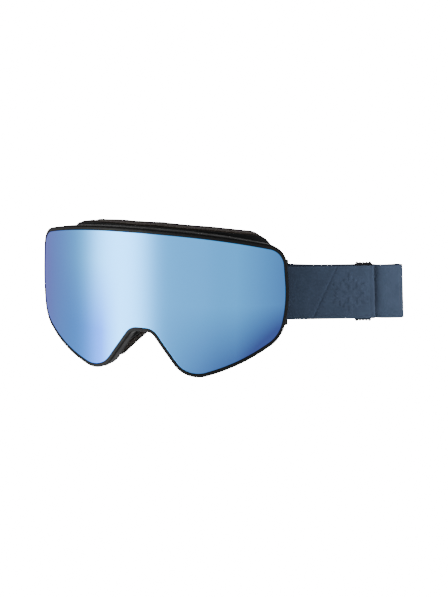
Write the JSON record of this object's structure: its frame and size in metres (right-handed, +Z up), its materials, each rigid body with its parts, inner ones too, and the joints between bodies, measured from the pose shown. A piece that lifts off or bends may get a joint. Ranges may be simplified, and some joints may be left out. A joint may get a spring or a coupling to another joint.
{
  "type": "ski goggles",
  "caption": "Frameless ski goggles with a bent mirror lens held by magnets, vented face frame, layered face foam and an elastic strap on hinged outriggers.",
  "frame": {"origin": "middle of the footprint of the whole object, strap included, on the level that the goggles stand on", "axes": "+X towards the wearer's left, where the strap is swept, +Y from the lens to the wearer's face, +Z up; the lens faces -Y"},
  "size_m": [0.2482, 0.093, 0.1003],
  "materials": {
    "mirror_lens": "gloss",
    "clear_lens": "gloss",
    "closed_cell_foam": "matte",
    "carrier_plastic": "satin",
    "frame_plastic": "matte",
    "vent_foam": "matte",
    "face_foam": "matte",
    "fleece": "matte",
    "steel": "satin",
    "webbing": "matte",
    "silicone": "satin",
    "slider_plastic": "satin"
  },
  "bodies": {
    "goggle_frame": {"frame": "frame_plastic", "frame_magnet_1": "steel", "frame_magnet_2": "steel", "frame_magnet_3": "steel", "frame_magnet_4": "steel", "frame_magnet_5": "steel", "frame_magnet_6": "steel", "top_vent_foam": "vent_foam", "bottom_vent_foam_left": "vent_foam", "bottom_vent_foam_right": "vent_foam", "face_foam_base": "face_foam", "face_foam_mid": "face_foam", "face_foam_fleece": "fleece", "hinge_pin_left": "steel", "hinge_pin_right": "steel", "strap_panel": "webbing", "strap_hem_right": "webbing", "strap_rear": "webbing", "grip_bead_1": "silicone", "grip_bead_2": "silicone", "grip_bead_3": "silicone"},
    "lens_unit": {"lens_outer": "mirror_lens", "lens_seal": "closed_cell_foam", "lens_inner": "clear_lens", "lens_carrier": "carrier_plastic", "carrier_magnet_1": "steel", "carrier_magnet_2": "steel", "carrier_magnet_3": "steel", "carrier_magnet_4": "steel", "carrier_magnet_5": "steel", "carrier_magnet_6": "steel"},
    "outrigger_left": {"outrigger_left": "carrier_plastic", "strap_wrap_left": "webbing"},
    "outrigger_right": {"outrigger_right": "carrier_plastic", "strap_wrap_right": "webbing"},
    "strap_slider": {"slider": "slider_plastic"}
  },
  "joints": [
    {"name": "lens_release", "type": "slide", "parent": "goggle_frame", "child": "lens_unit", "axis": [0, -1, 0], "range_m": [0, 0.06]},
    {"name": "outrigger_left_hinge", "type": "hinge", "parent": "goggle_frame", "child": "outrigger_left", "pos_m": [0.04928, 0.00072, 0.0548], "axis": [0, 0, 1], "range_deg": [-20, 35], "deforming": ["strap_wrap_left"]},
    {"name": "outrigger_right_hinge", "type": "hinge", "parent": "goggle_frame", "child": "outrigger_right", "pos_m": [-0.10952, 0.00072, 0.0548], "axis": [0, 0, -1], "range_deg": [-20, 35], "deforming": ["strap_wrap_right", "strap_hem_right"]},
    {"name": "slider_slide", "type": "slide", "parent": "goggle_frame", "child": "strap_slider", "axis": [0.8829, 0.4695, 0], "range_m": [-0.012, 0]}
  ]
}
